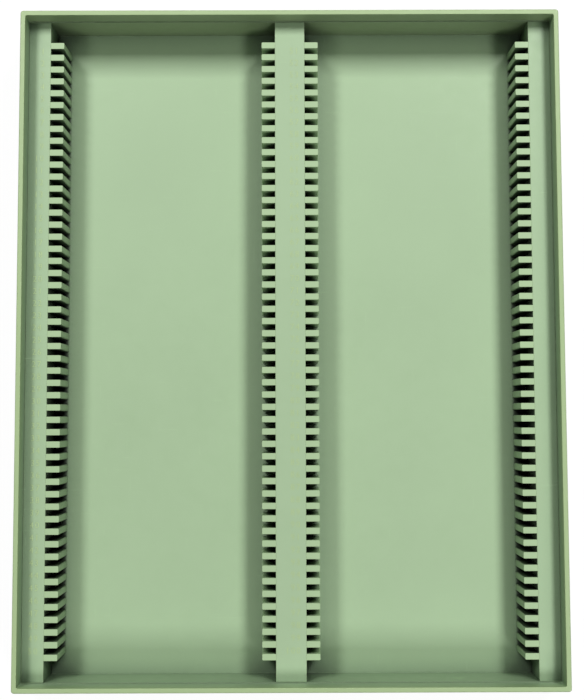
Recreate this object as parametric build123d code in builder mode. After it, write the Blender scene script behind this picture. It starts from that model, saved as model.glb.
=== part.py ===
import os
from math import radians, tan

from build123d import *

# Slide places: two columns of slots that hold standard slides on their long edge
place_count = 50
slot_spacing = 4.2
slot_width = 2.1
slide_length = 76.0
slide_play = 2.3
fin_length = 4.65
fin_corner = 0.3
fin_draft = 0.5

# Rails whose flat tops make the decks, lower than the rim
spine_width = 10.3
side_deck_width = 7.55
rail_wall = 1.5
end_gap = 7.2
end_ledge = 0.35

# Tray walls, floor and foot
rim_wall = 1.7
wall_draft = 0.5
corner_radius = 1.0
mouth_corner_radius = 0.5
inner_depth = 26.0
deck_drop = 8.2
floor_thickness = 1.9
foot_height = 1.0
foot_width = 3.0
foot_inset = 4.0

# Lift-off lid, turned over, with the tray standing in it
lid_clearance = 0.35
lid_wall = 1.5
lid_panel = 1.8
skirt_depth = 11.5
border_height = 0.8
border_width = 3.0
border_inset = 3.0
under_edge_round = 0.6
rim_round = 0.45
mouth_round = 0.2

# Running room at the ends and outer sides of the rails
fit_gap = 0.05

# Sizes that follow from the ones above
slide_span = slide_length + slide_play
fin_thickness = slot_spacing - slot_width
fin_count = place_count + 1
row_length = place_count * slot_spacing + fin_thickness
deck_height = inner_depth - deck_drop
draft_slope = tan(radians(wall_draft))
bed_width = spine_width + 2 * (slide_span + side_deck_width)
bed_length = row_length + 2 * end_gap
shell_height = floor_thickness + inner_depth
mouth_width = bed_width + 2 * deck_drop * draft_slope
mouth_length = bed_length + 2 * (end_ledge + deck_drop * draft_slope)
tray_width = mouth_width + 2 * rim_wall
tray_length = mouth_length + 2 * rim_wall
rail_length = bed_length - 2 * fit_gap

# Heights above the surface that the upturned lid lies on
lid_base = border_height
tray_base = lid_base + lid_panel
shell_base = tray_base + foot_height
bed_level = shell_base + floor_thickness
deck_level = bed_level + deck_height

# Distances from the middle of the box to the bottoms of the slots
inner_root = spine_width / 2
outer_root = inner_root + slide_span

os.makedirs("parts", exist_ok=True)


def finish(piece, name):
    # Label a finished piece and write it to its own file
    piece.part.label = name
    export_step(piece.part, f"parts/{name}.step")


def ring(width, length, band):
    # Flat band along the outside of a rectangle, drawn into the sketch that is open
    RectangleRounded(width, length, band)
    Rectangle(width - 2 * band, length - 2 * band, mode=Mode.SUBTRACT)


def round_rim(shell):
    # Soften both edges of the flat rim around an open shell
    fillet(shell.faces().sort_by(Axis.Z)[-1].outer_wire().edges(), rim_round)
    fillet(shell.faces().sort_by(Axis.Z)[-1].inner_wires()[0].edges(), mouth_round)


def make_tray():
    # Open shell with drafted walls, stepped in at deck level on the two end walls
    shell_inset = shell_height * draft_slope
    base_width = tray_width - 2 * shell_inset
    base_length = tray_length - 2 * shell_inset
    with BuildPart() as tray:
        with BuildSketch(Plane.XY.offset(shell_base)):
            RectangleRounded(base_width, base_length, corner_radius - shell_inset)
        extrude(amount=shell_height, taper=-wall_draft)
        fillet(tray.faces().sort_by(Axis.Z)[0].edges(), under_edge_round)
        with BuildSketch(Plane.XY.offset(bed_level)):
            Rectangle(bed_width, bed_length)
        extrude(amount=deck_height, mode=Mode.SUBTRACT)
        with BuildSketch(Plane.XY.offset(deck_level)):
            RectangleRounded(bed_width, bed_length + 2 * end_ledge, mouth_corner_radius)
        extrude(amount=deck_drop, taper=-wall_draft, mode=Mode.SUBTRACT)
        round_rim(tray)
        with BuildSketch(Plane.XY.offset(tray_base)):
            ring(base_width - 2 * foot_inset, base_length - 2 * foot_inset, foot_width)
        extrude(amount=foot_height)
    finish(tray, "tray")


def make_lid():
    # Shallow lid lying on its outer face, with a raised stacking border around that face
    lid_height = lid_panel + skirt_depth
    pocket_width = tray_width + 2 * lid_clearance
    pocket_length = tray_length + 2 * lid_clearance
    pocket_radius = corner_radius + lid_clearance
    pocket_inset = skirt_depth * draft_slope
    outer_inset = lid_height * draft_slope
    outer_width = pocket_width + 2 * (lid_wall - outer_inset)
    outer_length = pocket_length + 2 * (lid_wall - outer_inset)
    with BuildPart() as lid:
        with BuildSketch(Plane.XY.offset(lid_base)):
            RectangleRounded(outer_width, outer_length, pocket_radius + lid_wall - outer_inset)
        extrude(amount=lid_height, taper=-wall_draft)
        fillet(lid.faces().sort_by(Axis.Z)[0].edges(), under_edge_round)
        with BuildSketch(Plane.XY.offset(tray_base)):
            RectangleRounded(
                pocket_width - 2 * pocket_inset,
                pocket_length - 2 * pocket_inset,
                pocket_radius - pocket_inset,
            )
        extrude(amount=skirt_depth, taper=-wall_draft, mode=Mode.SUBTRACT)
        round_rim(lid)
        with BuildSketch(Plane.XY):
            ring(outer_width - 2 * border_inset, outer_length - 2 * border_inset, border_width)
        extrude(amount=border_height)
    finish(lid, "lid")


def make_rail(name, inner_x, outer_x):
    # Channel open at the bottom, standing on the tray floor from end wall to end wall
    width = outer_x - inner_x
    on_floor = (Align.CENTER, Align.MIN)
    with BuildPart() as rail:
        with BuildSketch(Plane.XZ):
            with Locations(((inner_x + outer_x) / 2, bed_level)):
                Rectangle(width, deck_height, align=on_floor)
                hollow = width - 2 * rail_wall
                Rectangle(hollow, deck_height - rail_wall, align=on_floor, mode=Mode.SUBTRACT)
        extrude(amount=rail_length / 2, both=True)
    finish(rail, name)


def make_fins(name, root_x, toward_slides):
    # Row of fins thicker at the foot, roots flat against a rail and tips over the slide column
    foot_spread = deck_height * tan(radians(fin_draft))
    foot_length = fin_length + 2 * foot_spread
    foot_thickness = fin_thickness + 2 * foot_spread
    with BuildSketch() as foot:
        Rectangle(foot_length, foot_thickness)
        tips = foot.vertices().sort_by(Axis.X, reverse=toward_slides < 0)[-2:]
        chamfer(tips, fin_corner)
    with BuildPart() as row:
        with BuildSketch(Plane.XY.offset(bed_level)):
            with Locations((root_x + toward_slides * fin_length / 2, 0)):
                with GridLocations(0, slot_spacing, 1, fin_count):
                    add(foot.sketch)
        extrude(amount=deck_height, taper=fin_draft)
        split(bisect_by=Plane.YZ.offset(root_x), keep=Keep.TOP if toward_slides > 0 else Keep.BOTTOM)
    finish(row, name)


make_tray()
make_lid()
make_rail("left_rail", fit_gap - bed_width / 2, -outer_root)
make_rail("centre_rail", -inner_root, inner_root)
make_rail("right_rail", outer_root, bed_width / 2 - fit_gap)
make_fins("left_fins", -outer_root, 1)
make_fins("centre_left_fins", -inner_root, -1)
make_fins("centre_right_fins", inner_root, 1)
make_fins("right_fins", outer_root, -1)
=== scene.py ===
import math

import bpy
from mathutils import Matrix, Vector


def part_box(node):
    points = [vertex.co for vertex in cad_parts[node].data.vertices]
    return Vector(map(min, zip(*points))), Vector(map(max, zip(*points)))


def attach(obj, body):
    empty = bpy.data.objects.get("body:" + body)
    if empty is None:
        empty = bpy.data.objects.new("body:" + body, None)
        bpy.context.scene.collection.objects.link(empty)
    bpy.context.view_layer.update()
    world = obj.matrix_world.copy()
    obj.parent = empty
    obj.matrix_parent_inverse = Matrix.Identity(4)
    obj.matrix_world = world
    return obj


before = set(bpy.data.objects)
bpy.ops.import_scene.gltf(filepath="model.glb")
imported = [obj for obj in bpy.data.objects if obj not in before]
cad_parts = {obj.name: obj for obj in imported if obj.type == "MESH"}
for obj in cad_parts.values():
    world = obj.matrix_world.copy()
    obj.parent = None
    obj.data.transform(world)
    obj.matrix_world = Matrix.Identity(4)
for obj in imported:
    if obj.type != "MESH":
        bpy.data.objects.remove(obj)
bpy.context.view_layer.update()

# Heights of the tray's floor, its decks and its rim
fin_low, fin_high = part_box("left_fins")
tray_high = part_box("tray")[1]
FLOOR_Z = fin_low.z
DECK_Z = fin_high.z
RIM_Z = tray_high.z

# Places along the columns, evenly about the middle of the fin rows
PLACES = 50
SLOT_SPACING = 0.0042
ROW_MIDDLE_Y = (fin_low.y + fin_high.y) / 2
ROW_HALF = (fin_high.y - fin_low.y) / 2
FIRST_SLOT_Y = ROW_MIDDLE_Y + (PLACES - 1) * SLOT_SPACING / 2

# Roots and tips of the fins, from the middle of the box outwards
INNER_ROOT_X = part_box("centre_rail")[1].x
INNER_TIP_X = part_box("centre_right_fins")[1].x
OUTER_TIP_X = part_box("right_fins")[0].x
OUTER_ROOT_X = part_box("right_rail")[0].x
COLUMN_MIDDLE_X = (INNER_ROOT_X + OUTER_ROOT_X) / 2
COLUMN_HALF = (OUTER_ROOT_X - INNER_ROOT_X) / 2

# Inner edge of the left deck, far end of the decks, and a line within the end walls
left_rail_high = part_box("left_rail")[1]
LEFT_ROOT_X = left_rail_high.x
FAR_WALL_Y = left_rail_high.y
END_WALL_Y = (FAR_WALL_Y + tray_high.y) / 2

# Plain colour of the plastic, linear, and what its channels are multiplied by elsewhere
GREEN = (0.407, 0.562, 0.342)
FIN_TINT = (1.05, 1.05, 0.99)
NUMBER_TINT = (1.16, 1.10, 0.92)
# Painted bounce light, yellower towards the rim
RIM_BOUNCE_TINT = (1.03, 1.0, 0.84)
# Painted shade on the inner face of the far wall
FAR_WALL_SHADE_TINT = (0.91, 0.85, 0.78)
WORN_TINT = (1.30, 1.24, 1.10)
# Painted shade deep in the box is a purer green, standing in for light that has met several walls
DEEP_TINT = (0.90, 1.01, 0.97)

# Noise patterns: scale, detail and roughness, then for streaks how they are drawn out and turned
CLOUDS = (22.0, 3.0, 0.55)
SPECKS = (900.0, 2.0, 0.6)
GRAIN = (4200.0, 2.0, 0.6)
WEAR = (160.0, 2.0, 0.6)
GLOSS = (240.0, 3.0, 0.6)
CROSS_STREAKS = ((60.0, 3.0, 0.55), (1, 26, 1), 0.5)
LONG_STREAKS = ((70.0, 3.0, 0.55), (24, 1, 1), -0.35)

# Stretch of each pattern that takes effect, and how strong it then is
CLOUD_RANGE = (0.3, 0.7)
CLOUD_LEVELS = (0.975, 1.02)
SPECK_RANGE = (0.62, 0.8)
SPECK_SHARE = 0.12
SPECK_LEVEL = 0.82
WEAR_RANGE = (0.35, 0.65)
WEAR_SHARES = (0.25, 0.6)
CROSS_STREAK_RANGE = (0.70, 0.74)
LONG_STREAK_RANGE = (0.71, 0.75)
STREAK_SHARE = 0.35
STREAK_LEVEL = 1.15
STREAK_ROUGHNESS = 0.12
GLOSS_RANGE = (0.3, 0.7)
ROUGHNESS = (0.40, 0.52)
SPECK_HEIGHT = 0.00001
GRAIN_HEIGHT = 0.000012
BUMP_STRENGTH = 0.55
REFRACTION = 1.5

# How far a rounded edge turns a face, as a cosine, from where wear starts to where it is full
EDGE_TURN = (0.995, 0.80)
BEVEL_SAMPLES = 6

# Part of a face's normal along an axis, from where the face starts to look that way to where it does
LOOKS_ALONG = (0.2, 0.9)
LOOKS_BACK = (-0.6, -0.9)

# Distance within which a point counts as on a plane
NEAR = 0.0001

# Painted shade in recesses: share of the colour left, by how much of the sky shows there: on level
# faces, on upright faces that look sideways, and on upright faces that look along the box
SKY_REACH = 0.012
SKY_SAMPLES = 8
TRAY_TONES = (
    ((0.0, 0.0), (0.16, 0.25), (0.43, 0.35), (0.52, 0.74), (0.80, 1.0)),
    ((0.20, 0.68), (1.0, 0.74)),
    ((0.10, 0.24), (0.25, 0.38), (0.45, 0.54), (0.60, 0.75), (1.0, 0.79)),
)
RAIL_TONES = (
    ((0.28, 0.15), (0.45, 0.48), (0.57, 0.64), (0.67, 0.82), (0.80, 1.0)),
    ((0.05, 0.0), (0.20, 0.05), (0.40, 0.16), (0.50, 0.40), (0.65, 0.80)),
    ((0.20, 0.50), (1.0, 0.80)),
)
FIN_TONES = (
    ((0.0, 1.0), (1.0, 1.0)),
    ((0.20, 0.56), (1.0, 0.70)),
    ((0.0, 0.02), (0.16, 0.07), (0.35, 0.17), (0.50, 0.32), (0.75, 0.65)),
)
LID_TONES = (
    ((0.05, 0.30), (0.50, 0.80), (0.80, 1.0)),
    ((0.20, 0.60), (1.0, 0.76)),
    ((0.20, 0.60), (1.0, 0.76)),
)

# Fins on the middle rail: their flanks keep more light near the tips, and so does the floor there
INNER_FLANK_TONES = ((0.0, 0.02), (0.10, 0.07), (0.20, 0.38), (0.32, 0.80), (0.55, 1.0))
INNER_FLOOR_FADE = (INNER_TIP_X - 0.0005, INNER_TIP_X + 0.0015)
INNER_FLOOR_LIGHT = 0.5
# Shading of the floor by the middle rail and by the outer ones, of what the sky alone would give
FLOOR_SHADING = (0.84, 1.08)
# Painted shade on the floor between the outer fins
OUTER_FLOOR_FADE = (OUTER_TIP_X - 0.0002, OUTER_TIP_X + 0.0006)
OUTER_FLOOR_SHARE = 0.3
ROW_END_FADE = (ROW_HALF - 0.0006, ROW_HALF + 0.0004)
# Ends of the decks, away from the side walls
DECK_END_FADE = (ROW_HALF - 0.005, ROW_HALF + 0.003)
DECK_END_LIGHT = 0.6
DECK_SIDE_FADE = (OUTER_ROOT_X + 0.002, OUTER_ROOT_X + 0.005)
# End walls above the decks: their tone, and what the decks add to it low down and at the rim
OVER_DECK_FADE = (COLUMN_HALF - 0.005, COLUMN_HALF + 0.004)
OVER_DECK_TONE = 0.78
OVER_DECK_LIGHT = (0.22, 0.10)
# Painted shade on the narrow ledge in the end walls
LEDGE_SHARE = 0.65
# Band under the rim with painted bounce light, and the inner face of the far wall with painted shade
RIM_BOUNCE_FADE = (RIM_Z - 0.006, RIM_Z - 0.0002)
FAR_FACE_FADE = (FAR_WALL_Y - 0.0002, FAR_WALL_Y)

# Raised place numbers: height, its share of the font's size, letter spacing, distance between the
# middles of two digits, relief, depth of their roots, and set-back from the slots
DIGIT_HEIGHT = 0.0021
DIGIT_SIZE_SHARE = 0.7
DIGIT_SPREAD = 1.22
DIGIT_STEP = 0.00183
DIGIT_RELIEF = 0.00008
DIGIT_ROOT = 0.00002
DIGIT_CURVE_STEPS = 2
USUAL_DIGITS = 2
NUMBER_SET_BACK = 0.00365

# White paper sweep under the box and the light around it
WHITE = (1.0, 1.0, 1.0, 1.0)
PAPER = (0.82, 0.82, 0.82, 1.0)
PAPER_ROUGHNESS = 0.6
PAPER_GLOW = 1.10
PAPER_GLOW_SHARE = 0.85
PAPER_REACH = 3.0
PAPER_DROP = 0.0002
WORLD_FILL = 0.02
LAMP_WIDTH = 0.24
LAMP_LENGTH = 0.42
LAMP_HEIGHT = 1.2

# Camera of the photograph: frame height, focal length and height of its axis above the middle of
# the frame in pixels, place in metres, and turns in degrees
FRAME_HEIGHT = 700
FOCAL_LENGTH = 1454.0
AXIS_ABOVE_MIDDLE = 64.5
SENSOR_HEIGHT = 36.0
CAMERA_PLACE = (0.00009, -0.02506, RIM_Z + 0.49061)
CAMERA_TURNS = (5.234, -0.061, -0.173)

# Sockets of a mix node for colours
MIX_FACTOR = 0
MIX_COLOR_A = 6
MIX_COLOR_B = 7
MIX_COLOR_OUT = 2


def tint(color, factors):
    # The same colour with each channel scaled
    return tuple(min(1.0, channel * factor) for channel, factor in zip(color, factors))


def shade(color, factor):
    # The same colour, lighter or darker
    return tuple(min(1.0, channel * factor) for channel in color)


def opaque(color):
    # A plain colour with full alpha, or the socket that gives a colour
    return (*color, 1.0) if isinstance(color, tuple) else color


class Shader:
    # Short way to add nodes to one tree and link them
    def __init__(self, tree, output_kind):
        self.tree = tree
        self.tree.nodes.clear()
        self.out = self.node(output_kind)

    def put(self, socket, value):
        # Link what another node gives, or set a plain value
        if isinstance(value, bpy.types.NodeSocket):
            self.tree.links.new(value, socket)
        else:
            socket.default_value = value

    def node(self, kind, settings=None, **inputs):
        made = self.tree.nodes.new(kind)
        for key, value in (settings or {}).items():
            setattr(made, key, value)
        for key, value in inputs.items():
            self.put(made.inputs[key.replace("_", " ")], value)
        return made

    def remap(self, value, low, high, to_low=0.0, to_high=1.0):
        # A straight line between two values, level beyond them
        made = self.node("ShaderNodeMapRange", Value=value, From_Min=low, From_Max=high,
                         To_Min=to_low, To_Max=to_high)
        return made.outputs[0]

    def math(self, operation, a, b=0.0):
        made = self.node("ShaderNodeMath", {"operation": operation})
        self.put(made.inputs[0], a)
        self.put(made.inputs[1], b)
        return made.outputs[0]

    def product(self, first, *others):
        for other in others:
            first = self.math("MULTIPLY", first, other)
        return first

    def size(self, value):
        # A value without its sign
        return self.math("ABSOLUTE", value)

    def distance(self, value, mark):
        return self.size(self.math("SUBTRACT", value, mark))

    def close(self, value, mark, reach):
        # 1 within reach of a mark, 0 elsewhere
        return self.math("LESS_THAN", self.distance(value, mark), reach)

    def remainder(self, share):
        return self.math("SUBTRACT", 1.0, share)

    def deepen(self, tone, share):
        # A tone with what it takes away scaled
        return self.remainder(self.product(self.remainder(tone), share))

    def blend(self, factor, a, b):
        # A plain number between two others
        return self.node("ShaderNodeMix", Factor=factor, A=a, B=b).outputs[0]

    def mix(self, factor, a, b):
        # A colour between two others
        made = self.node("ShaderNodeMix", {"data_type": "RGBA"})
        self.put(made.inputs[MIX_FACTOR], factor)
        self.put(made.inputs[MIX_COLOR_A], opaque(a))
        self.put(made.inputs[MIX_COLOR_B], opaque(b))
        return made.outputs[MIX_COLOR_OUT]

    def mix_shader(self, factor, a, b):
        made = self.node("ShaderNodeMixShader")
        for socket, value in zip(made.inputs, (factor, a, b)):
            self.put(socket, value)
        return made.outputs[0]

    def ramp(self, value, stops):
        # Grey levels at given positions, with straight lines between them
        made = self.node("ShaderNodeValToRGB", Fac=value)
        elements = made.color_ramp.elements
        while len(elements) < len(stops):
            elements.new(0.5)
        for element, (position, level) in zip(elements, stops):
            element.position = position
            element.color = (level, level, level, 1.0)
        return made.outputs["Color"]

    def vectors(self, operation, a, b):
        made = self.node("ShaderNodeVectorMath", {"operation": operation})
        self.put(made.inputs[0], a)
        self.put(made.inputs[1], b)
        return made.outputs

    def filtered(self, color, factors):
        # A colour with each channel scaled
        return self.vectors("MULTIPLY", color, factors)["Vector"]

    def scale(self, color, level):
        # A colour times a grey level
        made = self.node("ShaderNodeVectorMath", {"operation": "SCALE"}, Vector=color, Scale=level)
        return made.outputs["Vector"]

    def darken(self, color, mask, share):
        # A colour with only a share of it left inside a mask
        return self.scale(color, self.remap(mask, 0.0, 1.0, 1.0, share))


class Plastic(Shader):
    # Satin moulded plastic, in layers that follow where a point is and which way it faces
    def __init__(self, material, color):
        super().__init__(material.node_tree, "ShaderNodeOutputMaterial")
        self.color = color
        self.place = self.node("ShaderNodeTexCoord").outputs["Object"]
        self.normal = self.node("ShaderNodeNewGeometry").outputs["Normal"]
        place = self.node("ShaderNodeSeparateXYZ", Vector=self.place).outputs
        facing = self.node("ShaderNodeSeparateXYZ", Vector=self.normal).outputs
        self.y = place["Y"]
        self.z = place["Z"]
        self.aside = self.size(place["X"])
        self.from_middle = self.distance(self.y, ROW_MIDDLE_Y)
        self.facing_y = facing["Y"]
        self.end_on = self.remap(self.size(self.facing_y), *LOOKS_ALONG)
        self.level = self.remap(self.size(facing["Z"]), *LOOKS_ALONG)

    def noise(self, pattern, stretch=(1, 1, 1), turn=0.0):
        scale, detail, roughness = pattern
        mapped = self.node("ShaderNodeMapping", Vector=self.place, Scale=stretch, Rotation=(0, 0, turn))
        made = self.node("ShaderNodeTexNoise", Vector=mapped.outputs[0], Scale=scale, Detail=detail,
                         Roughness=roughness)
        return made.outputs["Fac"]

    def plain(self, specks):
        # Cloudy colour with fine darker specks
        dark, light = (shade(self.color, level) for level in CLOUD_LEVELS)
        body = self.mix(self.remap(self.noise(CLOUDS), *CLOUD_RANGE), dark, light)
        spots = self.remap(specks, *SPECK_RANGE, 0.0, SPECK_SHARE)
        return self.mix(spots, body, shade(self.color, SPECK_LEVEL))

    def painted_rim_bounce(self, body):
        # Painted bounce light: the walls above the decks turn a little yellower towards the rim
        return self.mix(self.remap(self.z, *RIM_BOUNCE_FADE), body, tint(self.color, RIM_BOUNCE_TINT))

    def far_face_painted_shade(self, body):
        # Painted shade: the inner face of the far wall is a little darker and yellower than the rest
        looks_back = self.remap(self.facing_y, *LOOKS_BACK)
        at_wall = self.remap(self.y, *FAR_FACE_FADE)
        return self.mix(self.product(looks_back, at_wall), body, tint(self.color, FAR_WALL_SHADE_TINT))

    def light_over_decks(self):
        # Above the decks the end walls get light back from them
        inside = self.math("LESS_THAN", self.from_middle, END_WALL_Y)
        above = self.math("GREATER_THAN", self.z, DECK_Z + NEAR)
        over_deck = self.remap(self.distance(self.aside, COLUMN_MIDDLE_X), *OVER_DECK_FADE)
        added = self.product(over_deck, self.remap(self.z, DECK_Z, RIM_Z, *OVER_DECK_LIGHT))
        return self.product(inside, above, self.math("ADD", added, OVER_DECK_TONE))

    def floor_tone(self, tone, in_row):
        # The rim shades the floor by the outer rails as well, but not by the middle one
        tone = self.deepen(tone, self.remap(self.aside, INNER_TIP_X, OUTER_TIP_X, *FLOOR_SHADING))
        by_middle = self.remap(self.aside, *INNER_FLOOR_FADE, INNER_FLOOR_LIGHT, 0.0)
        return self.deepen(tone, self.remainder(self.product(by_middle, in_row)))

    def deck_tone(self, tone):
        # The end walls shade the decks less than the side walls do
        at_end = self.remap(self.from_middle, *DECK_END_FADE, 0.0, DECK_END_LIGHT)
        off_side = self.remap(self.aside, *DECK_SIDE_FADE, 1.0, 0.0)
        return self.deepen(tone, self.remainder(self.product(at_end, off_side)))

    def painted_recess_shade(self, body, tones, inner_flanks, body_shell, decks):
        # Painted shade, darkest where little of the sky shows and most on upright faces
        sky = self.node("ShaderNodeAmbientOcclusion", {"samples": SKY_SAMPLES}, Distance=SKY_REACH)
        open_share = sky.outputs["AO"]
        level_tone, side_tone, end_tone = (self.ramp(open_share, stops) for stops in tones)
        level = self.level
        if inner_flanks:
            inner_row = self.math("LESS_THAN", self.aside, COLUMN_MIDDLE_X)
            end_tone = self.blend(inner_row, end_tone, self.ramp(open_share, inner_flanks))
        if body_shell:
            in_row = self.remap(self.from_middle, *ROW_END_FADE, 1.0, 0.0)
            end_tone = self.math("MAXIMUM", end_tone, self.light_over_decks())
            level_tone = self.floor_tone(level_tone, in_row)

            # The narrow ledge in the end walls is toned like the walls
            ledge = self.product(level, self.close(self.z, DECK_Z, NEAR))
            level = self.math("SUBTRACT", level, ledge)
        if decks:
            level_tone = self.deck_tone(level_tone)
        tone = self.blend(level, self.blend(self.end_on, side_tone, end_tone), level_tone)
        # The colour is scaled by the painted shade tone
        body = self.scale(body, tone)
        body = self.mix(tone, self.filtered(body, DEEP_TINT), body)
        if body_shell:
            # Painted shade: the ledge is a little darker, and the floor between the outer fins the
            # darkest of all
            body = self.darken(body, ledge, LEDGE_SHARE)
            on_floor = self.product(self.close(self.z, FLOOR_Z, 2 * NEAR), level)
            between_fins = self.product(self.remap(self.aside, *OUTER_FLOOR_FADE), in_row, on_floor)
            body = self.darken(body, between_fins, OUTER_FLOOR_SHARE)
        return body

    def worn(self, body, rounded):
        # Paler worn edges, in patches
        turn = self.vectors("DOT_PRODUCT", rounded, self.normal)["Value"]
        patches = self.remap(self.noise(WEAR), *WEAR_RANGE, *WEAR_SHARES)
        edges = self.product(self.remap(turn, *EDGE_TURN), patches)
        return self.mix(edges, body, tint(self.color, WORN_TINT))

    def streaks(self, amount):
        # Sparse scuffs in two directions
        across = self.remap(self.noise(*CROSS_STREAKS), *CROSS_STREAK_RANGE)
        along = self.remap(self.noise(*LONG_STREAKS), *LONG_STREAK_RANGE)
        return self.product(self.math("MAXIMUM", across, along), amount)

    def skin(self, body, rounded, specks, lines):
        # Satin surface with a fine moulding grain, duller along the scuffs
        rough = self.remap(self.noise(GLOSS), *GLOSS_RANGE, *ROUGHNESS)
        rough = self.math("ADD", rough, self.product(lines, STREAK_ROUGHNESS))
        fine = self.product(self.noise(GRAIN), GRAIN_HEIGHT)
        height = self.math("ADD", fine, self.product(specks, SPECK_HEIGHT))
        bump = self.node("ShaderNodeBump", Strength=BUMP_STRENGTH, Distance=1.0, Height=height,
                         Normal=rounded)
        skin = self.node("ShaderNodeBsdfPrincipled", Base_Color=body, Roughness=rough,
                         Normal=bump.outputs[0], IOR=REFRACTION)
        self.put(self.out.inputs[0], skin.outputs[0])


def new_material(name):
    material = bpy.data.materials.new(name)
    material.use_nodes = True
    return material


def moulded_plastic(name, color, edge_radius, scuffs, tones=None, inner_flanks=None,
                    body_shell=False, decks=False):
    # Plastic of one kind of part, with its own edges, scuffs and painted shade in recesses
    material = new_material(name)
    s = Plastic(material, color)
    specks = s.noise(SPECKS)
    body = s.far_face_painted_shade(s.painted_rim_bounce(s.plain(specks)))
    if tones:
        body = s.painted_recess_shade(body, tones, inner_flanks, body_shell, decks)
    rounded = s.node("ShaderNodeBevel", {"samples": BEVEL_SAMPLES}, Radius=edge_radius).outputs[0]
    body = s.worn(body, rounded)
    lines = s.streaks(scuffs)
    body = s.mix(s.product(lines, STREAK_SHARE), body, shade(color, STREAK_LEVEL))
    s.skin(body, rounded, specks, lines)
    return material


def floor_material():
    # White paper sweep that the camera sees as white and that still takes the shadow
    material = new_material("floor_white")
    s = Shader(material.node_tree, "ShaderNodeOutputMaterial")
    paper = s.node("ShaderNodeBsdfDiffuse", Color=PAPER, Roughness=PAPER_ROUGHNESS)
    glow = s.node("ShaderNodeEmission", Color=WHITE, Strength=PAPER_GLOW)
    rays = s.node("ShaderNodeLightPath").outputs
    seen = s.math("MAXIMUM", rays["Is Camera Ray"], rays["Is Glossy Ray"])
    seen = s.math("MAXIMUM", seen, rays["Is Transmission Ray"])
    share = s.product(seen, PAPER_GLOW_SHARE)
    s.put(s.out.inputs[0], s.mix_shader(share, paper.outputs[0], glow.outputs[0]))
    return material


def dress(node, material):
    # Give a CAD node its material
    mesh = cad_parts[node].data
    mesh.materials.clear()
    mesh.materials.append(material)


def number_mesh(name, first, root_x, material):
    # Raised place numbers, one per slot, set back from the root of the slots
    parts = []
    for index in range(PLACES):
        curve = bpy.data.curves.new(f"{name}_{index}", "FONT")
        curve.body = str(first + index)
        curve.size = DIGIT_HEIGHT / DIGIT_SIZE_SHARE
        curve.space_character = DIGIT_SPREAD
        curve.align_x = "CENTER"
        curve.align_y = "CENTER"
        curve.extrude = DIGIT_RELIEF / 2
        curve.resolution_u = DIGIT_CURVE_STEPS
        piece = bpy.data.objects.new(curve.name, curve)
        bpy.context.scene.collection.objects.link(piece)
        # Last digits stand in one line
        missing_digits = USUAL_DIGITS - len(curve.body)
        piece.location = (
            root_x - NUMBER_SET_BACK + missing_digits * DIGIT_STEP / 2,
            FIRST_SLOT_Y - index * SLOT_SPACING,
            DECK_Z + DIGIT_RELIEF / 2 - DIGIT_ROOT,
        )
        parts.append(piece)
    bpy.ops.object.select_all(action="DESELECT")
    for piece in parts:
        piece.select_set(True)
    bpy.context.view_layer.objects.active = parts[0]
    bpy.ops.object.convert(target="MESH")
    bpy.ops.object.join()
    joined = bpy.context.view_layer.objects.active
    joined.name = name
    bpy.ops.object.transform_apply(location=True, rotation=True, scale=True)
    joined.data.materials.clear()
    joined.data.materials.append(material)
    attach(joined, "tray")


def add_floor():
    # Flat sheet just under the box
    mesh = bpy.data.meshes.new("floor")
    signs = ((-1, -1), (1, -1), (1, 1), (-1, 1))
    corners = [(x * PAPER_REACH, y * PAPER_REACH, 0) for x, y in signs]
    mesh.from_pydata(corners, [], [(0, 1, 2, 3)])
    floor = bpy.data.objects.new("floor", mesh)
    bpy.context.scene.collection.objects.link(floor)
    floor.data.materials.append(floor_material())
    floor.location.z = -PAPER_DROP


def add_world():
    # Weak even light that the camera sees as white
    world = bpy.data.worlds.new("studio")
    bpy.context.scene.world = world
    world.use_nodes = True
    s = Shader(world.node_tree, "ShaderNodeOutputWorld")
    fill = s.node("ShaderNodeBackground", Color=WHITE, Strength=WORLD_FILL)
    seen = s.node("ShaderNodeBackground", Color=WHITE, Strength=1.0)
    rays = s.node("ShaderNodeLightPath").outputs
    mixed = s.mix_shader(rays["Is Camera Ray"], fill.outputs[0], seen.outputs[0])
    s.put(s.out.inputs[0], mixed)


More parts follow.
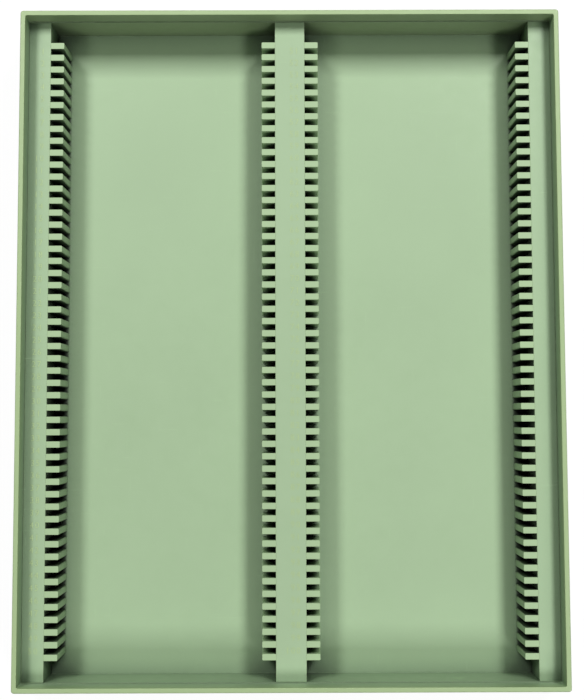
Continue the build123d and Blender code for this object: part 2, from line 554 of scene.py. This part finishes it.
def add_lamp(name, x, y, power):
    # Soft box above the tray, facing straight down
    lamp = bpy.data.lights.new(name, "AREA")
    lamp.shape = "RECTANGLE"
    lamp.size = LAMP_WIDTH
    lamp.size_y = LAMP_LENGTH
    lamp.energy = power
    made = bpy.data.objects.new(name, lamp)
    bpy.context.scene.collection.objects.link(made)
    made.location = (x, y, LAMP_HEIGHT)


def add_camera():
    # Nearly straight above, leaning a little towards the first places
    data = bpy.data.cameras.new("camera")
    data.sensor_fit = "VERTICAL"
    data.sensor_height = SENSOR_HEIGHT
    data.lens = SENSOR_HEIGHT * FOCAL_LENGTH / FRAME_HEIGHT
    data.shift_y = -AXIS_ABOVE_MIDDLE / FRAME_HEIGHT
    camera = bpy.data.objects.new("camera", data)
    bpy.context.scene.collection.objects.link(camera)
    camera.location = CAMERA_PLACE
    camera.rotation_euler = [math.radians(turn) for turn in CAMERA_TURNS]
    bpy.context.scene.camera = camera


tray_plastic = moulded_plastic("tray_plastic", GREEN, edge_radius=0.00012, scuffs=1.0,
                               tones=TRAY_TONES, body_shell=True)
rail_plastic = moulded_plastic("rail_plastic", GREEN, edge_radius=0.0005, scuffs=1.0,
                               tones=RAIL_TONES, decks=True)
fin_plastic = moulded_plastic("fin_plastic", tint(GREEN, FIN_TINT), edge_radius=0.0002, scuffs=0.3,
                              tones=FIN_TONES, inner_flanks=INNER_FLANK_TONES)
lid_plastic = moulded_plastic("lid_plastic", GREEN, edge_radius=0.0004, scuffs=1.0, tones=LID_TONES)
number_plastic = moulded_plastic("number_plastic", tint(GREEN, NUMBER_TINT), edge_radius=0.00003,
                                 scuffs=0.3)
dress("tray", tray_plastic)
for node in ("left_rail", "centre_rail", "right_rail"):
    dress(node, rail_plastic)
for node in ("left_fins", "centre_left_fins", "centre_right_fins", "right_fins"):
    dress(node, fin_plastic)
dress("lid", lid_plastic)
number_mesh("left_numbers", 1, LEFT_ROOT_X, number_plastic)
number_mesh("right_numbers", 1 + PLACES, INNER_ROOT_X, number_plastic)

add_floor()
add_world()
add_lamp("far_left_box", x=-0.53, y=0.64, power=9.2)
add_lamp("far_right_box", x=0.47, y=0.64, power=10.6)
add_lamp("near_left_box", x=-0.53, y=-0.70, power=2.5)
add_lamp("near_right_box", x=0.47, y=-0.70, power=6.0)
add_camera()
bpy.context.scene.view_settings.view_transform = "Standard"
